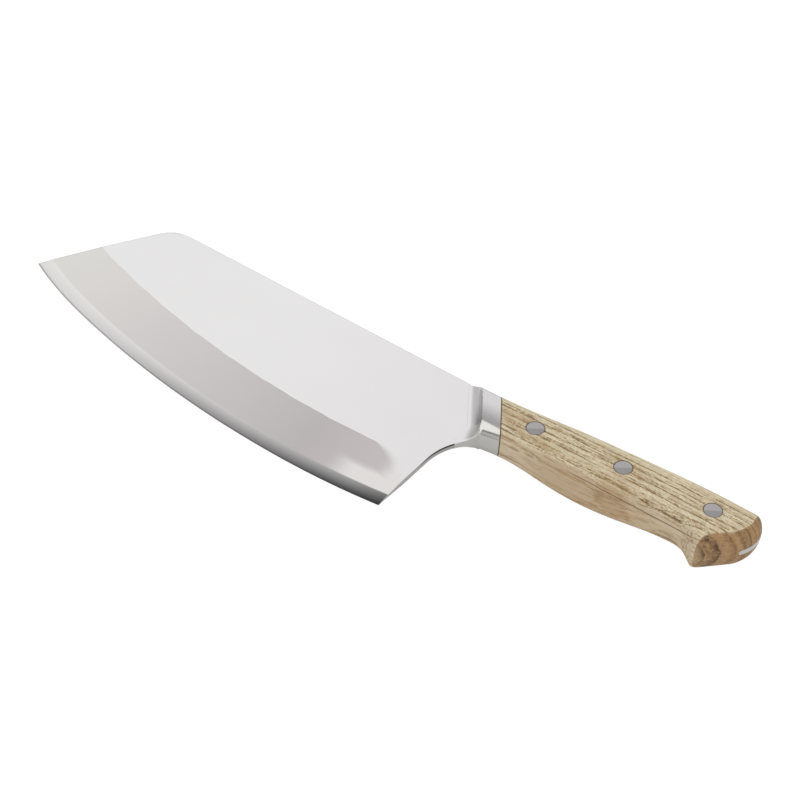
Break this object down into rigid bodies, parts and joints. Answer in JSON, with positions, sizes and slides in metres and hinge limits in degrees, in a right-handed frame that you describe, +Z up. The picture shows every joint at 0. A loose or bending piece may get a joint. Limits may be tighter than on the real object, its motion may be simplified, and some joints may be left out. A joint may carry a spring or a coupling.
{
  "type": "chinese cleaver",
  "caption": "Slicing cleaver with a tall double-bevelled blade, a coved steel bolster and a contoured wooden handle fixed by a line of flush rivets.",
  "frame": {"origin": "under the middle of the knife's outline, on the surface that the knife lies on", "axes": "+X along the knife from the tip to the butt, +Y from the cutting edge to the spine, +Z up through the thickness"},
  "size_m": [0.3112, 0.0833, 0.0197],
  "materials": {
    "blade_steel": "satin ground",
    "bolster_steel": "polished",
    "ash_wood": "sanded and oiled",
    "rivet_steel": "satin"
  },
  "bodies": {
    "root": {"blade": "blade_steel", "bolster": "bolster_steel", "handle": "ash_wood", "rivet_1_sleeve": "rivet_steel", "rivet_1_pin": "rivet_steel", "rivet_2_sleeve": "rivet_steel", "rivet_2_pin": "rivet_steel", "rivet_3_sleeve": "rivet_steel", "rivet_3_pin": "rivet_steel"}
  },
  "joints": []
}
